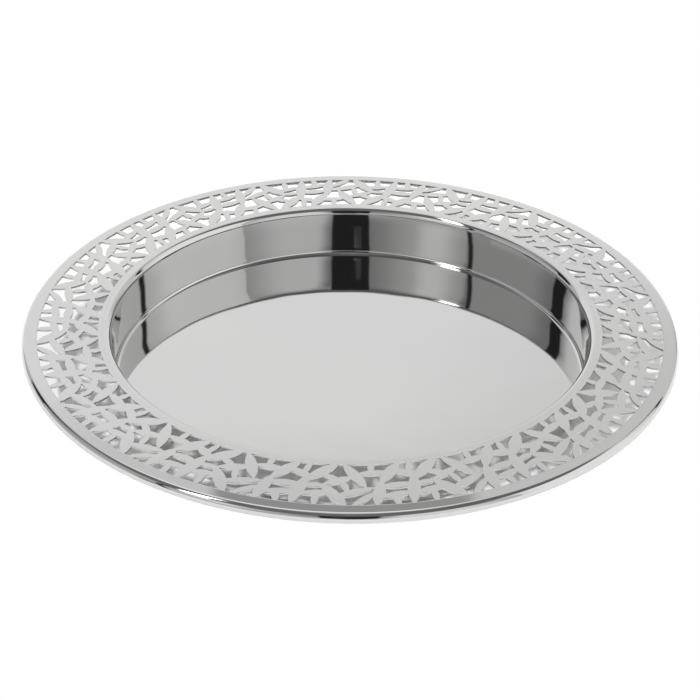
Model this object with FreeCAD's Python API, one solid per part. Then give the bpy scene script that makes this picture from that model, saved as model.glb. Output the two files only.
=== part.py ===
import FreeCAD, Part
import math
import os

# Round offering plate in polished stainless sheet. It stands on the flat floor of its basin, and a wide
# openwork rim of leaves runs round the basin's mouth. Millimetres, +Z up, origin at the centre of the
# floor's underside.

# Driving dimensions
OVERALL_RADIUS = 175.0
SHEET = 1.0
RIM_TOP = 30.4  # height of the rim's flat top above the table

# Basin
SHOULDER_START = 130.8  # radius where the flat rim begins to turn down into the wall
# The bends from there down into the wall: radius on the show side, and the wall's lean in degrees below the bend
SHOULDER_BENDS = [(2.0, 50), (4.8, 6), (85.0, 0.7)]
WALL_DRAFT = math.radians(SHOULDER_BENDS[-1][1])
FOOT_BEND = 60.0  # on the show side, where the wall swells out just above the floor
FOOT_TILT = math.radians(2.5)  # how far the wall leans in there
FLOOR_FILLET = 2.2  # on the show side
INNER_JOINT = 132.6

# Openwork ring
HOLES_FROM = 134.8
HOLES_TO = 166.8
OUTER_JOINT = 167.3

# Edge ring: a slightly sloping margin, a turned-down lip and a hem rolled round a wire
MARGIN_SLOPE = math.radians(2.5)
LIP_BEND = 3.1
WIRE_RADIUS = 0.4
HEM_RADIUS = WIRE_RADIUS + SHEET
HEM_DROP = 3.8  # from the rim's top down to the wire's centre
HEM_TURN = math.radians(200)  # how far the sheet wraps round the wire

# Soldered seams on the underside of the two butt joints, dressed level
SEAM_HALF_WIDTH = 0.9
SEAM_HALF_LAND = 0.5
SEAM_HEIGHT = 0.6
OUTER_SEAM_SHIFT = 0.5  # how far out of its joint the outer bead lies, so that it stays clear of the holes

# The leaf pattern of one repeat. Each leaf is a pointed oval from one tip to the other:
# degrees and radius of a tip, degrees and radius of the other tip, width.
REPEATS = 18
LEAVES = [
    # large leaves
    (0.5, 168.4, 2.4, 143.6, 6.4),
    (9.8, 168.4, 5.0, 150.4, 6.4),
    (14.5, 168.4, 16.1, 146.8, 6.2),
    (2.0, 148.6, 8.2, 133.6, 6.4),
    (8.8, 133.6, 13.2, 153.8, 6.0),
    (15.6, 150.4, 20.4, 133.6, 6.4),
    # slender leaves that tie them together
    (10.3, 168.4, 14.9, 156.8, 3.9),
    (1.4, 159.4, 7.2, 156.6, 4.4),
    (7.4, 160.6, 14.9, 153.2, 4.8),
    (15.0, 161.4, 21.2, 158.0, 4.6),
    (5.2, 151.4, 11.2, 144.2, 4.6),
    (9.9, 157.4, 8.8, 147.4, 3.6),
    (11.4, 142.2, 18.0, 141.6, 4.4),
    (15.5, 152.6, 22.0, 152.2, 4.8),
    (18.0, 139.8, 23.6, 146.2, 4.6),
    (1.8, 152.2, 6.0, 151.6, 3.6),
    (4.6, 142.6, 8.6, 147.6, 3.8),
    # buds on the outer and the inner circle
    (4.4, 168.4, 4.5, 157.4, 3.6),
    (18.3, 168.4, 17.7, 159.0, 3.6),
    (14.6, 133.4, 14.2, 141.6, 3.4),
    (22.4, 133.4, 21.4, 144.6, 3.4),
]

RIM_UNDER = RIM_TOP - SHEET
AXIS = FreeCAD.Vector(0, 0, 1)
ORIGIN = FreeCAD.Vector(0, 0, 0)


def section(radius, height):
    """A point of a section, which is drawn in the XZ plane."""
    return FreeCAD.Vector(radius, 0, height)


def around(centre, radius, angle):
    """The section point on a circle, with the angle counted from outwards towards up."""
    return centre + section(radius * math.cos(angle), radius * math.sin(angle))


def line(start, end):
    return Part.LineSegment(start, end).toShape()


def bend(centre, radius, start_angle, end_angle):
    """An arc of a section. Its ends are given by angle, in either order."""
    middle_angle = (start_angle + end_angle) / 2
    start = around(centre, radius, start_angle)
    middle = around(centre, radius, middle_angle)
    end = around(centre, radius, end_angle)
    return Part.Arc(start, middle, end).toShape()


def spin(edges):
    """The solid of revolution of a closed section."""
    return Part.Face(Part.Wire(edges)).revolve(ORIGIN, AXIS, 360)


def shoulder_bends():
    """The tangent bends from the flat rim down into the wall: centre, radius, first and last angle of each."""
    angle, touch = math.pi / 2, section(SHOULDER_START, RIM_TOP)
    bends = []
    for radius, lean in SHOULDER_BENDS:
        centre = around(touch, -radius, angle)
        last_angle = math.pi - math.radians(lean)
        bends.append((centre, radius, angle, last_angle))
        touch, angle = around(centre, radius, last_angle), last_angle
    return bends


def foot_bend_centre(wall_top):
    """The centre of the bend above the fillet, so that the wall between it and the shoulder is straight."""
    height = SHEET + FLOOR_FILLET + (FOOT_BEND + FLOOR_FILLET) * math.sin(FOOT_TILT)
    straight_height = wall_top.z - height - FOOT_BEND * math.sin(WALL_DRAFT)
    wall_radius = wall_top.x - straight_height * math.tan(WALL_DRAFT)
    return section(wall_radius + FOOT_BEND * math.cos(WALL_DRAFT), height)


def make_basin():
    """Drawn dish in one sheet: flat floor, fillet, slightly crowned wall, shoulder and a narrow flange."""
    shoulder = shoulder_bends()
    wall_angle = math.pi - WALL_DRAFT
    foot_angle = math.pi + FOOT_TILT
    sweep_centre, sweep_radius = shoulder[-1][:2]
    wall_top = around(sweep_centre, sweep_radius, wall_angle)
    foot = foot_bend_centre(wall_top)
    fillet = around(foot, FOOT_BEND + FLOOR_FILLET, foot_angle)

    show_floor = [section(0, SHEET), section(fillet.x, SHEET)]
    flange_top = [section(SHOULDER_START, RIM_TOP), section(INNER_JOINT, RIM_TOP)]
    flange_under = [section(INNER_JOINT, RIM_UNDER), section(SHOULDER_START, RIM_UNDER)]
    back_foot = FOOT_BEND - SHEET
    back_wall = [around(sweep_centre, sweep_radius - SHEET, wall_angle), around(foot, back_foot, wall_angle)]
    back_floor = [section(fillet.x, 0), section(0, 0)]
    return spin([
        line(*show_floor),
        bend(fillet, FLOOR_FILLET, -math.pi / 2, FOOT_TILT),
        bend(foot, FOOT_BEND, foot_angle, wall_angle),
        line(around(foot, FOOT_BEND, wall_angle), wall_top),
        *[bend(centre, radius, last, first) for centre, radius, first, last in reversed(shoulder)],
        line(*flange_top),
        line(flange_top[1], flange_under[0]),
        line(*flange_under),
        *[bend(centre, radius - SHEET, first, last) for centre, radius, first, last in shoulder],
        line(*back_wall),
        bend(foot, back_foot, wall_angle, foot_angle),
        bend(fillet, FLOOR_FILLET + SHEET, FOOT_TILT, -math.pi / 2),
        line(*back_floor),
        line(back_floor[1], show_floor[0]),
    ])


def polar(degrees, radius):
    """A point of the leaf pattern, on the underside of the rim."""
    angle = math.radians(degrees)
    return FreeCAD.Vector(radius * math.cos(angle), radius * math.sin(angle), RIM_UNDER)


def leaf_face(leaf, turn):
    """A pointed oval between two tips, turned about the axis by whole repeats."""
    first_degrees, first_radius, second_degrees, second_radius, width = leaf
    first = polar(first_degrees + turn, first_radius)
    second = polar(second_degrees + turn, second_radius)
    middle = (first + second) / 2
    sideways = (second - first).cross(AXIS).normalize() * (width / 2)
    sides = [Part.Arc(first, middle + sideways, second), Part.Arc(second, middle - sideways, first)]
    return Part.Face(Part.Wire([side.toShape() for side in sides]))


def band_face(start, end):
    """The part of the pierced band between two angles in degrees."""
    middle = (start + end) / 2
    outer = Part.Arc(polar(start, HOLES_TO), polar(middle, HOLES_TO), polar(end, HOLES_TO)).toShape()
    inner = Part.Arc(polar(end, HOLES_FROM), polar(middle, HOLES_FROM), polar(start, HOLES_FROM)).toShape()
    ends = [line(polar(end, HOLES_TO), polar(end, HOLES_FROM)),
            line(polar(start, HOLES_FROM), polar(start, HOLES_TO))]
    return Part.Face(Part.Wire([outer, ends[0], inner, ends[1]]))


def holes_of_one_repeat():
    """The outlines of the gaps that the leaves leave open, for the gaps centred in the first repeat."""
    step = 360 / REPEATS
    leaves = [leaf_face(leaf, turn * step) for turn in (-1, 0, 1) for leaf in LEAVES]
    gaps = band_face(-step / 2, 1.5 * step).cut(leaves).Faces
    wires = []
    for gap in gaps:
        centre = gap.CenterOfMass
        degrees = math.degrees(math.atan2(centre.y, centre.x))
        if 0 <= degrees < step:
            wires.append(gap.OuterWire)
    return wires


def make_pierced_ring():
    """Flat ring cut from sheet, with the leaf pattern repeated all the way round."""
    rims = [Part.Wire(Part.makeCircle(radius, section(0, RIM_UNDER), AXIS))
            for radius in (OUTER_JOINT, INNER_JOINT)]
    holes = []
    for wire in holes_of_one_repeat():
        for turn in range(REPEATS):
            hole = wire.copy()
            hole.rotate(ORIGIN, AXIS, turn * 360 / REPEATS)
            holes.append(hole)
    ring = Part.makeFace(rims + holes, "Part::FaceMakerBullseye")
    return ring.extrude(AXIS * SHEET)


def margin_point(radius, depth):
    """A point under the sloping margin: on its top at depth 0, on its underside at the sheet's thickness."""
    fall = (radius - OUTER_JOINT) * math.tan(MARGIN_SLOPE)
    return section(radius, RIM_TOP - fall - depth / math.cos(MARGIN_SLOPE))


def hem_centre():
    return section(OVERALL_RADIUS - HEM_RADIUS, RIM_TOP - HEM_DROP)


def make_edge_ring():
    """Margin, lip and hem in one sheet. The hem wraps round the edge wire."""
    margin_angle = math.pi / 2 - MARGIN_SLOPE
    bend_radius = OVERALL_RADIUS - LIP_BEND
    top_of_bend = bend_radius + LIP_BEND * math.cos(margin_angle)
    bend_height = margin_point(top_of_bend, 0).z - LIP_BEND * math.sin(margin_angle)
    lip = section(bend_radius, bend_height)
    inner_bend = LIP_BEND - SHEET
    hem = hem_centre()
    return spin([
        line(margin_point(OUTER_JOINT, 0), around(lip, LIP_BEND, margin_angle)),
        bend(lip, LIP_BEND, margin_angle, 0),
        line(around(lip, LIP_BEND, 0), around(hem, HEM_RADIUS, 0)),
        bend(hem, HEM_RADIUS, 0, -HEM_TURN),
        line(around(hem, HEM_RADIUS, -HEM_TURN), around(hem, WIRE_RADIUS, -HEM_TURN)),
        bend(hem, WIRE_RADIUS, -HEM_TURN, 0),
        line(around(hem, WIRE_RADIUS, 0), around(lip, inner_bend, 0)),
        bend(lip, inner_bend, 0, margin_angle),
        line(around(lip, inner_bend, margin_angle), margin_point(OUTER_JOINT, SHEET)),
        line(margin_point(OUTER_JOINT, SHEET), margin_point(OUTER_JOINT, 0)),
    ])


def make_edge_wire():
    """Stiffening wire inside the hem, all the way round."""
    hem = hem_centre()
    return Part.makeTorus(hem.x, WIRE_RADIUS, section(0, hem.z), AXIS)


def make_seam(middle, top):
    """Bead of solder under a butt joint. The points of its top follow the undersides of the two sheets."""
    land = RIM_UNDER - SEAM_HEIGHT
    corners = top + [section(middle + SEAM_HALF_LAND, land), section(middle - SEAM_HALF_LAND, land)]
    return spin([line(start, end) for start, end in zip(corners, corners[1:] + corners[:1])])


def make_inner_seam():
    top = [section(INNER_JOINT + side * SEAM_HALF_WIDTH, RIM_UNDER) for side in (-1, 1)]
    return make_seam(INNER_JOINT, top)


def make_outer_seam():
    middle = OUTER_JOINT + OUTER_SEAM_SHIFT
    flat = [section(middle - SEAM_HALF_WIDTH, RIM_UNDER), section(OUTER_JOINT, RIM_UNDER)]
    return make_seam(middle, flat + [margin_point(middle + SEAM_HALF_WIDTH, SHEET)])


NODES = {
    "basin": make_basin,
    "pierced_ring": make_pierced_ring,
    "edge_ring": make_edge_ring,
    "edge_wire": make_edge_wire,
    "inner_seam": make_inner_seam,
    "outer_seam": make_outer_seam,
}

os.makedirs("parts", exist_ok=True)
for name, make in NODES.items():
    shape = make()
    box = shape.optimalBoundingBox(False)
    print(f"{name}: valid {shape.isValid()}, {len(shape.Solids)} solid, {len(shape.Faces)} faces,"
          f" {shape.Volume:.1f} mm3, radius {box.XMax:.2f}, z {box.ZMin:.2f} to {box.ZMax:.2f}")
    shape.exportStep(f"parts/{name}.step")
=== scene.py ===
import math

import bmesh
import bpy
from mathutils import Matrix, Vector


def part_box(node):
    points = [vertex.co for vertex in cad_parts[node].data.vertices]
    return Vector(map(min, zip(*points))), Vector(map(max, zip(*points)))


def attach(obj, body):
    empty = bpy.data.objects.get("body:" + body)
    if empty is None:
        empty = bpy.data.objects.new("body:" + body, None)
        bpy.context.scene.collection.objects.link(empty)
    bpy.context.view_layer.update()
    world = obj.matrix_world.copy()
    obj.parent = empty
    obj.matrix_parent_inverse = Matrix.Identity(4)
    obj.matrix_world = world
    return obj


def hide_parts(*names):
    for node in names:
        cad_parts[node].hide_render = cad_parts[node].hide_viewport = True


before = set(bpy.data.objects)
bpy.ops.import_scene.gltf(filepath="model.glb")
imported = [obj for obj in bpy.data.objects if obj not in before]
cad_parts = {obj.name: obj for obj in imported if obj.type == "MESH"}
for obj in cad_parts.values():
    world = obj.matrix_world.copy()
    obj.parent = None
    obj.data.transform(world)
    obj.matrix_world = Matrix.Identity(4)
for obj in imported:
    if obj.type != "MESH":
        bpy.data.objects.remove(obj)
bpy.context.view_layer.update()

# Metres. The main places come from the frame; the small radii are those of the sheet metal work.
MM = 0.001
RING_LOW, RING_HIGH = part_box("pierced_ring")
RIM_TOP = RING_HIGH.z
RIM_UNDER = RING_LOW.z
SHEET = RIM_TOP - RIM_UNDER
INNER_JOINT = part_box("basin")[1].x
OUTER_JOINT = RING_HIGH.x
OVERALL_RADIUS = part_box("edge_ring")[1].x
EDGE_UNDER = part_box("edge_ring")[0].z
WIRE_LOW, WIRE_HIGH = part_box("edge_wire")

SHOULDER_START = INNER_JOINT - 1.8 * MM
# The bends from there down into the wall: radius, and the wall's lean in degrees below the bend
SHOULDER_BENDS = [(2.0 * MM, 50), (4.8 * MM, 6), (85 * MM, 0.7)]
WALL_DRAFT = math.radians(SHOULDER_BENDS[-1][1])
FOOT_BEND = 60 * MM  # where the wall swells out just above the floor
FOOT_TILT = math.radians(2.5)  # how far the wall leans in there
FLOOR_FILLET = 2.2 * MM
MARGIN_SLOPE = math.radians(2.5)
LIP_BEND = 3.1 * MM
WIRE_RADIUS = 0.4 * MM
HEM_RADIUS = WIRE_RADIUS + SHEET
HEM_TURN = math.radians(200)  # how far the sheet wraps round the wire
HEM_CENTRE = (OVERALL_RADIUS - HEM_RADIUS, (WIRE_LOW.z + WIRE_HIGH.z) / 2)
SEAM_HALF_WIDTH = 0.9 * MM
SEAM_HALF_LAND = 0.5 * MM
SEAM_HEIGHT = 0.6 * MM
OUTER_SEAM_SHIFT = 0.5 * MM  # how far out of its joint the outer bead lies
BROKEN_EDGE = 0.15 * MM  # how far the polishing breaks the edges of the holes
SHARP_EDGE = math.radians(50)  # an edge that turns more than this is broken
FLAT_EDGE = math.radians(1)  # an edge that turns less than this only divides a flat face
SAME_POINT = 0.002 * MM

AROUND = 360  # steps round the plate
ARC_STEP = math.radians(3)  # steps along the small bends of a section
FLOOR_STEPS = 12  # steps from the middle of the floor to its fillet
ON_AXIS = 1e-9
KEY_DIGITS = 8  # section points that agree to this many digits are one point


# Sections. A stretch is a list of (point, normal) pairs, each a (radius, height) pair. A section is a
# list of stretches that runs outwards along its top and back along its underside.

def around(centre, radius, angle):
    return (centre[0] + radius * math.cos(angle), centre[1] + radius * math.sin(angle))


def straight(start, end, steps=1):
    """A straight stretch."""
    run, rise = end[0] - start[0], end[1] - start[1]
    length = math.hypot(run, rise)
    normal = (-rise / length, run / length)
    shares = [step / steps for step in range(steps + 1)]
    return [((start[0] + run * share, start[1] + rise * share), normal) for share in shares]


def bend(centre, radius, start_angle, end_angle):
    """An arc: hollow where the angle grows and rounded where it falls."""
    turn = end_angle - start_angle
    side = -1 if turn > 0 else 1
    steps = max(2, math.ceil(abs(turn) / ARC_STEP))
    angles = [start_angle + turn * step / steps for step in range(steps + 1)]
    return [(around(centre, radius, angle), (side * math.cos(angle), side * math.sin(angle)))
            for angle in angles]


def shoulder_bends():
    """The tangent bends from the rim down into the wall: centre, radius, first and last angle of each."""
    angle, touch = math.pi / 2, (SHOULDER_START, RIM_TOP)
    bends = []
    for radius, lean in SHOULDER_BENDS:
        centre = around(touch, -radius, angle)
        last_angle = math.pi - math.radians(lean)
        bends.append((centre, radius, angle, last_angle))
        touch, angle = around(centre, radius, last_angle), last_angle
    return bends


def foot_bend_centre(wall_top):
    """The centre of the bend above the fillet, so that the wall between it and the shoulder is straight."""
    height = SHEET + FLOOR_FILLET + (FOOT_BEND + FLOOR_FILLET) * math.sin(FOOT_TILT)
    straight_height = wall_top[1] - height - FOOT_BEND * math.sin(WALL_DRAFT)
    wall_radius = wall_top[0] - straight_height * math.tan(WALL_DRAFT)
    return (wall_radius + FOOT_BEND * math.cos(WALL_DRAFT), height)


def basin_section():
    shoulder = shoulder_bends()
    wall_angle = math.pi - WALL_DRAFT
    foot_angle = math.pi + FOOT_TILT
    wall_top = around(shoulder[-1][0], shoulder[-1][1], wall_angle)
    foot = foot_bend_centre(wall_top)
    fillet = around(foot, FOOT_BEND + FLOOR_FILLET, foot_angle)
    back_foot = FOOT_BEND - SHEET
    back_wall_top = around(shoulder[-1][0], shoulder[-1][1] - SHEET, wall_angle)
    return [
        straight((0, SHEET), (fillet[0], SHEET), steps=FLOOR_STEPS),
        bend(fillet, FLOOR_FILLET, -math.pi / 2, FOOT_TILT),
        bend(foot, FOOT_BEND, foot_angle, wall_angle),
        straight(around(foot, FOOT_BEND, wall_angle), wall_top),
        *[bend(centre, radius, last, first) for centre, radius, first, last in reversed(shoulder)],
        straight((SHOULDER_START, RIM_TOP), (INNER_JOINT, RIM_TOP)),
        straight((INNER_JOINT, RIM_TOP), (INNER_JOINT, RIM_UNDER)),
        straight((INNER_JOINT, RIM_UNDER), (SHOULDER_START, RIM_UNDER)),
        *[bend(centre, radius - SHEET, first, last) for centre, radius, first, last in shoulder],
        straight(back_wall_top, around(foot, back_foot, wall_angle)),
        bend(foot, back_foot, wall_angle, foot_angle),
        bend(fillet, FLOOR_FILLET + SHEET, FOOT_TILT, -math.pi / 2),
        straight((fillet[0], 0), (0, 0), steps=FLOOR_STEPS),
    ]


def margin_point(radius, depth):
    """A point of the sloping margin, at a depth below its top."""
    fall = (radius - OUTER_JOINT) * math.tan(MARGIN_SLOPE)
    return (radius, RIM_TOP - fall - depth / math.cos(MARGIN_SLOPE))


def edge_section():
    margin_angle = math.pi / 2 - MARGIN_SLOPE
    bend_radius = OVERALL_RADIUS - LIP_BEND
    top_of_bend = bend_radius + LIP_BEND * math.cos(margin_angle)
    lip = (bend_radius, margin_point(top_of_bend, 0)[1] - LIP_BEND * math.sin(margin_angle))
    inner_bend = LIP_BEND - SHEET
    return [
        straight(margin_point(OUTER_JOINT, 0), around(lip, LIP_BEND, margin_angle)),
        bend(lip, LIP_BEND, margin_angle, 0),
        straight(around(lip, LIP_BEND, 0), around(HEM_CENTRE, HEM_RADIUS, 0)),
        bend(HEM_CENTRE, HEM_RADIUS, 0, -HEM_TURN),
        straight(around(HEM_CENTRE, HEM_RADIUS, -HEM_TURN),
                 around(HEM_CENTRE, WIRE_RADIUS, -HEM_TURN)),
        bend(HEM_CENTRE, WIRE_RADIUS, -HEM_TURN, 0),
        straight(around(HEM_CENTRE, WIRE_RADIUS, 0), around(lip, inner_bend, 0)),
        bend(lip, inner_bend, 0, margin_angle),
        straight(around(lip, inner_bend, margin_angle), margin_point(OUTER_JOINT, SHEET)),
        straight(margin_point(OUTER_JOINT, SHEET), margin_point(OUTER_JOINT, 0)),
    ]


def wire_section():
    return [bend(HEM_CENTRE, WIRE_RADIUS, math.pi, -math.pi)]


def seam_section(middle, top):
    """The bead under a butt joint. The points of its top follow the undersides of the two sheets."""
    land = RIM_UNDER - SEAM_HEIGHT
    corners = top + [(middle + SEAM_HALF_LAND, land), (middle - SEAM_HALF_LAND, land)]
    return [straight(start, end) for start, end in zip(corners, corners[1:] + corners[:1])]


def inner_seam_section():
    top = [(INNER_JOINT + side * SEAM_HALF_WIDTH, RIM_UNDER) for side in (-1, 1)]
    return seam_section(INNER_JOINT, top)


def outer_seam_section():
    middle = OUTER_JOINT + OUTER_SEAM_SHIFT
    flat = [(middle - SEAM_HALF_WIDTH, RIM_UNDER), (OUTER_JOINT, RIM_UNDER)]
    return seam_section(middle, flat + [margin_point(middle + SEAM_HALF_WIDTH, SHEET)])


# Meshes

def ring_of(point):
    """The points that a section point passes as it goes round the axis: one if it is on the axis."""
    radius, height = point
    if radius < ON_AXIS:
        return [(0.0, 0.0, height)]
    turns = [2 * math.pi * step / AROUND for step in range(AROUND)]
    return [(radius * math.cos(turn), radius * math.sin(turn), height) for turn in turns]


def turned(normal, step):
    turn = 2 * math.pi * step / AROUND
    return (normal[0] * math.cos(turn), normal[0] * math.sin(turn), normal[1])


def lathe(name, section):
    """A piece turned about the plate's axis, with the section's true normals at its faces' corners."""
    vertices, rings, faces, normals = [], {}, [], []

    def ring(point):
        key = (round(point[0], KEY_DIGITS), round(point[1], KEY_DIGITS))
        if key not in rings:
            places = ring_of(point)
            rings[key] = range(len(vertices), len(vertices) + len(places))
            vertices.extend(places)
        return rings[key]

    for stretch in section:
        for (first_point, first_normal), (second_point, second_normal) in zip(stretch, stretch[1:]):
            first, second = ring(first_point), ring(second_point)
            for step in range(AROUND):
                after = (step + 1) % AROUND
                corners = [(first, step, first_normal), (second, step, second_normal),
                           (second, after, second_normal), (first, after, first_normal)]
                if len(first) == 1:
                    corners.pop()
                if len(second) == 1:
                    corners.pop(2)
                faces.append([loop[at % len(loop)] for loop, at, _ in corners])
                normals.extend(turned(normal, at) for _, at, normal in corners)
    mesh = bpy.data.meshes.new(name)
    mesh.from_pydata(vertices, [], faces)
    mesh.shade_smooth()
    mesh.normals_split_custom_set(normals)
    piece = bpy.data.objects.new(name, mesh)
    bpy.context.scene.collection.objects.link(piece)
    return piece


# Materials

class Nodes:
    """A material's node tree, with short calls for adding and linking nodes."""

    def __init__(self, name):
        self.material = bpy.data.materials.new(name)
        self.material.use_nodes = True
        self.tree = self.material.node_tree
        self.tree.nodes.clear()
        self.place = self.add("ShaderNodeTexCoord").outputs["Object"]

    def add(self, kind, links=None, **settings):
        """Adds a node. Settings are its properties, links its inputs: a value or another node's output."""
        node = self.tree.nodes.new(kind)
        for key, value in settings.items():
            setattr(node, key, value)
        for key, value in (links or {}).items():
            if isinstance(value, bpy.types.NodeSocket):
                self.tree.links.new(value, node.inputs[key])
            else:
                node.inputs[key].default_value = value
        return node

    def noise(self, scale, detail=2.0, stretch=(1, 1, 1)):
        """Soft noise from 0 to 1. The scale is in cells per metre."""
        place = self.vector("MULTIPLY", {0: self.place, 1: stretch})
        links = {"Vector": place, "Scale": scale, "Detail": detail}
        return self.add("ShaderNodeTexNoise", links).outputs["Fac"]

    def span(self, value, low, high, start=0.3, end=0.7):
        """Maps a value between start and end to low and high."""
        links = {"Value": value, "From Min": start, "From Max": end, "To Min": low, "To Max": high}
        return self.add("ShaderNodeMapRange", links).outputs["Result"]

    def maths(self, operation, first, second=0.0):
        return self.add("ShaderNodeMath", {0: first, 1: second}, operation=operation).outputs["Value"]

    def vector(self, operation, links):
        return self.add("ShaderNodeVectorMath", links, operation=operation).outputs["Vector"]

    def mix(self, share, first, second):
        links = {"Factor": share, "A": first, "B": second}
        node = self.add("ShaderNodeMix", data_type="RGBA")
        for key, value in links.items():
            socket = next(s for s in node.inputs if s.name == key and (key == "Factor" or s.type == "RGBA"))
            if isinstance(value, bpy.types.NodeSocket):
                self.tree.links.new(value, socket)
            else:
                socket.default_value = value
        return next(s for s in node.outputs if s.type == "RGBA")

    def bump(self, height, strength, distance):
        links = {"Height": height, "Strength": strength, "Distance": distance}
        return self.add("ShaderNodeBump", links).outputs["Normal"]

    def metal(self, colour, roughness, normal=None):
        """Ends the tree with bare metal."""
        shader = self.add("ShaderNodeBsdfPrincipled", {"Base Color": colour, "Roughness": roughness})
        shader.inputs["Metallic"].default_value = 1.0
        if normal is not None:
            self.tree.links.new(normal, shader.inputs["Normal"])
        return self.finish(shader.outputs["BSDF"])

    def finish(self, surface):
        self.add("ShaderNodeOutputMaterial", {"Surface": surface})
        return self.material


# Colours
STEEL_LIGHT = (0.63, 0.63, 0.622, 1)
STEEL_DARK = (0.60, 0.602, 0.60, 1)
CUT_STEEL = (0.52, 0.52, 0.51, 1)
WIRE_LIGHT = (0.60, 0.60, 0.58, 1)
WIRE_DARK = (0.50, 0.50, 0.49, 1)
SOLDER_LIGHT = (0.70, 0.69, 0.65, 1)
SOLDER_DARK = (0.58, 0.57, 0.54, 1)

# Noise, in cells per metre
TINTS = 6.0
SMUDGES = 14.0
GRAIN = 900.0
WAVES = 30.0
CUT_STREAKS = 700.0
DRAWN_LINES = 2500.0
FILE_MARKS = 1600.0

# Roughness, least and most
SMUDGE_ROUGHNESS = (0.012, 0.05)
GRAIN_ROUGHNESS = (0.0, 0.012)
CUT_ROUGHNESS = (0.06, 0.16)
WIRE_ROUGHNESS = (0.25, 0.42)
SOLDER_ROUGHNESS = (0.28, 0.45)

WALL_TO_FACE = (0.05, 0.6)  # a normal's rise on the wall of a hole, and on the face beside it

# Depth of the relief
WAVE_HEIGHT = 0.1 * MM
LINE_DEPTH = 0.02 * MM
MARK_DEPTH = 0.05 * MM


def polish(nodes):
    """Roughness of a buffed surface: nearly a mirror, with faint smudges and a little fine haze."""
    smudges = nodes.span(nodes.noise(SMUDGES, detail=3.0), *SMUDGE_ROUGHNESS)
    haze = nodes.span(nodes.noise(GRAIN), *GRAIN_ROUGHNESS)
    return nodes.maths("ADD", smudges, haze)


def waves(nodes):
    """The slight unevenness of drawn and buffed sheet, which bends what it reflects."""
    return nodes.bump(nodes.noise(WAVES, detail=1.0), 1.0, WAVE_HEIGHT)


def tone(nodes):
    return nodes.mix(nodes.span(nodes.noise(TINTS), 0.0, 1.0), STEEL_DARK, STEEL_LIGHT)


def polished_steel(name):
    nodes = Nodes(name)
    return nodes.metal(tone(nodes), polish(nodes), waves(nodes))


def pierced_steel(name):
    """Polished on the flat faces, with the duller walls that the cutting leaves in the holes."""
    nodes = Nodes(name)
    facing = nodes.add("ShaderNodeSeparateXYZ", {0: nodes.add("ShaderNodeNewGeometry").outputs["Normal"]})
    upright = nodes.maths("ABSOLUTE", facing.outputs["Z"])
    wall = nodes.span(upright, 1.0, 0.0, *WALL_TO_FACE)
    streaks = nodes.span(nodes.noise(CUT_STREAKS, stretch=(1, 1, 0.1)), *CUT_ROUGHNESS)
    colour = nodes.mix(wall, tone(nodes), CUT_STEEL)
    rough = nodes.add("ShaderNodeMix", {0: wall, 2: polish(nodes), 3: streaks}, data_type="FLOAT")
    return nodes.metal(colour, rough.outputs[0], waves(nodes))


def drawn_wire(name):
    nodes = Nodes(name)
    lines = nodes.noise(DRAWN_LINES, stretch=(1, 1, 8))
    return nodes.metal(nodes.mix(lines, WIRE_DARK, WIRE_LIGHT), nodes.span(lines, *WIRE_ROUGHNESS),
                       nodes.bump(lines, 0.3, LINE_DEPTH))


def solder(name):
    """Dressed silver solder: satin, a little warmer than the steel, with file marks."""
    nodes = Nodes(name)
    marks = nodes.noise(FILE_MARKS, detail=3.0)
    return nodes.metal(nodes.mix(marks, SOLDER_DARK, SOLDER_LIGHT), nodes.span(marks, *SOLDER_ROUGHNESS),
                       nodes.bump(marks, 0.4, MARK_DEPTH))


# Pieces

def finish_with(piece, material):
    piece.data.materials.clear()
    piece.data.materials.append(material)


def turned_piece(node, section, material):
    """A turned piece that stands for the CAD node of the same place and size, on a finer mesh."""
    piece = lathe(node + "_turned", section)
    finish_with(piece, material)
    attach(piece, "root")
    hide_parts(node)
    return piece


def soften_edges(piece, width):
    """Breaks the sharp edges of a CAD node, as polishing does."""
    weld = piece.modifiers.new("weld", "WELD")
    weld.merge_threshold = SAME_POINT
    dissolve = piece.modifiers.new("dissolve", "DECIMATE")
    dissolve.decimate_type = "DISSOLVE"
    dissolve.angle_limit = FLAT_EDGE
    edges = piece.modifiers.new("edges", "BEVEL")
    edges.width = width
    edges.segments = 2
    edges.limit_method = "ANGLE"
    edges.angle_limit = SHARP_EDGE
    edges.harden_normals = True


def make_plate():
    mirror = polished_steel("mirror_steel")
    bead = solder("silver_solder")
    turned_piece("basin", basin_section(), mirror)
    turned_piece("edge_ring", edge_section(), mirror)
    turned_piece("edge_wire", wire_section(), drawn_wire("drawn_wire"))
    turned_piece("inner_seam", inner_seam_section(), bead)
    turned_piece("outer_seam", outer_seam_section(), bead)
    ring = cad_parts["pierced_ring"]
    finish_with(ring, pierced_steel("pierced_steel"))
    soften_edges(ring, BROKEN_EDGE)


# Studio

CAMERA_DISTANCE = 5.731 * OVERALL_RADIUS
CAMERA_ELEVATION = math.radians(30.89)
CAMERA_DIP = math.radians(0.935)  # how far it looks below the middle of the rim's top
CAMERA_ROLL = math.radians(0.624)
LENS = 95.9
SENSOR = 36.0
CLIP_FROM = 0.05
CLIP_TO = 50.0
DOME_RADIUS = 4.0
DOME_STEPS_PER_DEGREE = 2
DOME_FROM = -2  # its lowest elevation in degrees
TABLE_RADIUS = 3.98
TABLE_SIDES = 128
TABLE_WHITE = (0.86, 0.86, 0.86, 1)
TABLE_ROUGHNESS = 0.9
SHADOW_COVER_FROM = OVERALL_RADIUS - HEM_RADIUS  # the table's painted glow, which hides the plate's shadow from the camera, fades in from here
SHADOW_COVER_TO = OVERALL_RADIUS - 0.8 * MM  # to here, both hidden behind the hem


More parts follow.
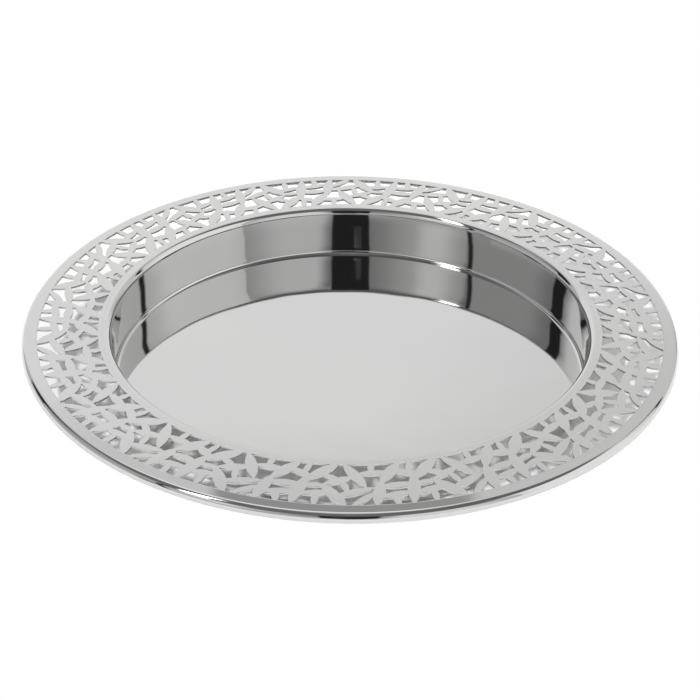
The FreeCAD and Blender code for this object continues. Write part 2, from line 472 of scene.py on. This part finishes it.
def make_camera():
    data = bpy.data.cameras.new("camera")
    data.lens = LENS
    data.sensor_width = SENSOR
    data.clip_start = CLIP_FROM
    data.clip_end = CLIP_TO
    camera = bpy.data.objects.new("camera", data)
    bpy.context.scene.collection.objects.link(camera)
    across, up = math.cos(CAMERA_ELEVATION), math.sin(CAMERA_ELEVATION)
    place = Vector((0, -CAMERA_DISTANCE * across, RIM_TOP + CAMERA_DISTANCE * up))
    pitch = Matrix.Rotation(math.pi / 2 - CAMERA_ELEVATION - CAMERA_DIP, 4, "X")
    camera.matrix_world = Matrix.Translation(place) @ pitch @ Matrix.Rotation(CAMERA_ROLL, 4, "Z")
    bpy.context.scene.camera = camera


def step_up(value, edge, softness):
    """0 well below the edge and 1 well above it."""
    share = min(1.0, max(0.0, (value - edge) / softness + 0.5))
    return share * share * (3 - 2 * share)


# The studio as the metal sees it. Each panel has azimuths from and to, elevations from and to, brightness,
# its softness across and up, and its lean: how far it moves in azimuth for each degree above LEAN_FROM.
# All but the brightness are in degrees. Azimuth 0 is the far side and 90 the right side. Later panels
# cover earlier ones.
LEAN_FROM = 30
PANELS = [
    (-200, 200, -20, 110, 0.20, 1, 1, 0),  # dark room
    (-43, 44, -20, 72, 1.04, 18, 14, 0.45),  # white sweep behind the plate
    (-44, 44, 36.5, 64, 0.83, 10, 6, 0),  # greyer higher up
    (13, 75, -20, 64, 0.80, 20, 14, -1.2),  # and on its right side
    (-40, 14, 49, 66, 1.25, 8, 6, 0),  # bright strip over it
    (-45, 30, 70, 110, 0.62, 20, 14, 0),  # glow above it
    (-8.4, 7.8, 41, 46, 0.42, 1.2, 2.5, 0),  # grey bar across its middle
    (-24, 20, 10, 19, 1.12, 10, 8, 0),  # brighter foot
    (30, 130, 47, 75, 0.18, 10, 6, 0),  # dark room over its right side and the right reflector
    (-176, -112, -20, 42, 0.36, 2, 5, 0),  # left reflector, seen at a slant
    (-158, -112, -20, 42, 0.72, 30, 5, 0),  # its middle
    (-144, -112, -20, 42, 1.02, 10, 5, 0),  # its bright end
    (-127, -112, -20, 42, 0.62, 16, 5, 0),  # darker again towards its far end
    (-118, -112, -20, 42, 0.26, 5, 5, 0),  # its far end
    (-178, -120, -20, 18, 0.64, 3, 10, 0),  # brighter foot
    (-112, -44, -20, 24, 0.63, 3, 4, 0),  # left wall, lower half
    (-112, -56, 22, 43, 0.51, 3, 4, 0),  # left wall, upper half
    (-68, -50, 22, 43, 0.32, 20, 4, 0),  # its darker end
    (-116.5, -104, 12, 43, 0.51, 2, 4, 0.33),  # its slanting edge beside the reflector
    (-117.0, -114.2, 4, 46, 0.04, 1.5, 4, 0.33),  # dark edge between the reflector and the wall
    (-57.6, -46.5, 14, 45, 0.03, 2, 4, 0.5),  # dark gap between the left wall and the sweep
    (-139, -127.5, 43.5, 66, 8.0, 4, 5, 0.8),  # left lamp
    (54, 123.8, -20, 47, 0.86, 1.5, 6, -0.1),  # right reflector
    (67, 123.8, 0, 48, 1.15, 22, 6, -0.1),  # right lamp
    (49.1, 54.1, 15.5, 44, 0.03, 1.5, 3, -0.7),  # dark gap beside the right reflector
    (123.8, 172, -20, 42, 0.60, 1.5, 5, -0.1),  # right reflector, rear part
    (134, 172, -20, 42, 0.97, 26, 5, 0),  # its bright end
    (166.2, 174, -20, 42, 0.30, 9, 5, -0.27),  # its far edge
    (169.9, 181, 10, 48, 0.03, 1, 4, -0.07),  # camera and its stand, left half
    (179, 189.5, 10, 48, 0.03, 1, 4, 0.07),  # right half
    (182.7, 185.2, 27, 32.5, 0.10, 0.8, 1.5, 0),  # light on its barrel
    (181.6, 182.6, 27.5, 31, 0.22, 0.8, 1, 0),  # light on its lens
]


def beside(azimuth, low, high):
    """How far an azimuth is outside a range, negative inside it."""
    middle, half = (low + high) / 2, (high - low) / 2
    return abs((azimuth - middle + 180) % 360 - 180) - half


def studio_brightness(azimuth, elevation):
    brightness = 0.0
    for from_azimuth, to_azimuth, low, high, value, across, up, lean in PANELS:
        shift = lean * (elevation - LEAN_FROM)
        aside = beside(azimuth, from_azimuth + shift, to_azimuth + shift)
        beyond = max(low - elevation, elevation - high)
        share = (1 - step_up(aside, 0, across)) * (1 - step_up(beyond, 0, up))
        brightness += (value - brightness) * share
    return brightness


def glow_material(name):
    nodes = Nodes(name)
    brightness = nodes.add("ShaderNodeAttribute", attribute_name="brightness").outputs["Fac"]
    light = nodes.add("ShaderNodeEmission", {"Strength": brightness})
    return nodes.finish(light.outputs["Emission"])


def make_dome():
    """The studio's panels, on a dome that only the metal's reflections see."""
    mesh = bpy.data.meshes.new("studio_dome")
    dome = bpy.data.objects.new("studio_dome", mesh)
    bpy.context.scene.collection.objects.link(dome)
    half_turn = 180 * DOME_STEPS_PER_DEGREE
    azimuths = [step / DOME_STEPS_PER_DEGREE for step in range(-half_turn, half_turn)]
    elevations = range(DOME_FROM, 91)
    vertices, brightness, faces = [], [], []
    for elevation in elevations:
        across = DOME_RADIUS * math.cos(math.radians(elevation))
        height = DOME_RADIUS * math.sin(math.radians(elevation))
        for azimuth in azimuths:
            side, far = math.sin(math.radians(azimuth)), math.cos(math.radians(azimuth))
            vertices.append((across * side, across * far, height))
            brightness.append(studio_brightness(azimuth, elevation))
    count = len(azimuths)
    for row in range(len(elevations) - 1):
        for column in range(count):
            after = (column + 1) % count
            low, high = row * count, (row + 1) * count
            faces.append((low + column, high + column, high + after, low + after))
    mesh.from_pydata(vertices, [], faces)
    mesh.attributes.new("brightness", "FLOAT", "POINT").data.foreach_set("value", brightness)
    mesh.materials.append(glow_material("studio_glow"))
    dome.visible_camera = False
    dome.visible_diffuse = False
    dome.visible_shadow = False
    return dome


def turn_with_camera(studio):
    """Keeps the studio's near side behind the camera, as if the plate were turned for each view."""
    follow = studio.constraints.new("LOCKED_TRACK")
    follow.target = bpy.context.scene.camera
    follow.track_axis = "TRACK_NEGATIVE_Y"
    follow.lock_axis = "LOCK_Z"


def sight_radius(nodes, height):
    """How far from the plate's axis the line of sight to a point of the table passes, at this height."""
    place = nodes.add("ShaderNodeNewGeometry")
    sight = place.outputs["Incoming"]
    rise = nodes.add("ShaderNodeSeparateXYZ", {0: sight}).outputs["Z"]
    back = nodes.vector("SCALE", {0: sight, "Scale": nodes.maths("DIVIDE", height, rise)})
    crossing = nodes.vector("ADD", {0: place.outputs["Position"], 1: back})
    flat = nodes.vector("MULTIPLY", {0: crossing, 1: (1, 1, 0)})
    return nodes.add("ShaderNodeVectorMath", {0: flat}, operation="LENGTH").outputs["Value"]


def table_material(name):
    """White. To the camera it glows pure white outside the plate's outline, like a cut-out picture: painted
    light that hides the plate's shadow there.
    """
    nodes = Nodes(name)
    settings = {"Base Color": TABLE_WHITE, "Roughness": TABLE_ROUGHNESS, "Specular IOR Level": 0.0}
    table = nodes.add("ShaderNodeBsdfPrincipled", settings)
    outside = nodes.span(sight_radius(nodes, EDGE_UNDER), 0.0, 1.0, SHADOW_COVER_FROM, SHADOW_COVER_TO)
    seen = nodes.maths("MULTIPLY", outside, nodes.add("ShaderNodeLightPath").outputs["Is Camera Ray"])
    # Painted light: this glow covers the plate's shadow on the table, for the camera only
    white = nodes.add("ShaderNodeEmission")
    shaders = {"Fac": seen, 1: table.outputs["BSDF"], 2: white.outputs["Emission"]}
    return nodes.finish(nodes.add("ShaderNodeMixShader", shaders).outputs["Shader"])


def make_table():
    mesh = bpy.data.meshes.new("table")
    table = bpy.data.objects.new("table", mesh)
    bpy.context.scene.collection.objects.link(table)
    shape = bmesh.new()
    bmesh.ops.create_circle(shape, cap_ends=True, segments=TABLE_SIDES, radius=TABLE_RADIUS)
    shape.to_mesh(mesh)
    shape.free()
    mesh.materials.append(table_material("white_table"))


FILL_LIGHT = 0.62  # on the table, from all sides

# Lights that only the table sees: azimuth, elevation, strength and angular size in degrees
LIGHTS = {
    "left_light": (-133, 52, 2.3, 5),
    "right_light": (95, 35, 0.9, 20),
}


def make_lights(studio):
    for name, (azimuth, elevation, strength, size) in LIGHTS.items():
        data = bpy.data.lights.new(name, "SUN")
        data.energy = strength
        data.angle = math.radians(size)
        light = bpy.data.objects.new(name, data)
        turn = Matrix.Rotation(-math.radians(azimuth), 4, "Z")
        light.matrix_world = turn @ Matrix.Rotation(math.radians(elevation - 90), 4, "X")
        light.visible_glossy = False
        light.parent = studio
        bpy.context.scene.collection.objects.link(light)


def make_world():
    """Light on the table from all sides, and a pure white background."""
    world = bpy.data.worlds.new("studio")
    world.use_nodes = True
    tree = world.node_tree
    background = tree.nodes["Background"]
    background.inputs["Color"].default_value = (1, 1, 1, 1)
    path = tree.nodes.new("ShaderNodeLightPath")
    strength = tree.nodes.new("ShaderNodeMapRange")
    strength.inputs["To Min"].default_value = FILL_LIGHT
    tree.links.new(path.outputs["Is Camera Ray"], strength.inputs["Value"])
    tree.links.new(strength.outputs["Result"], background.inputs["Strength"])
    bpy.context.scene.world = world


def make_studio():
    make_camera()
    make_world()
    make_table()
    dome = make_dome()
    make_lights(dome)
    turn_with_camera(dome)
    bpy.context.scene.view_settings.view_transform = "Standard"


make_studio()
make_plate()
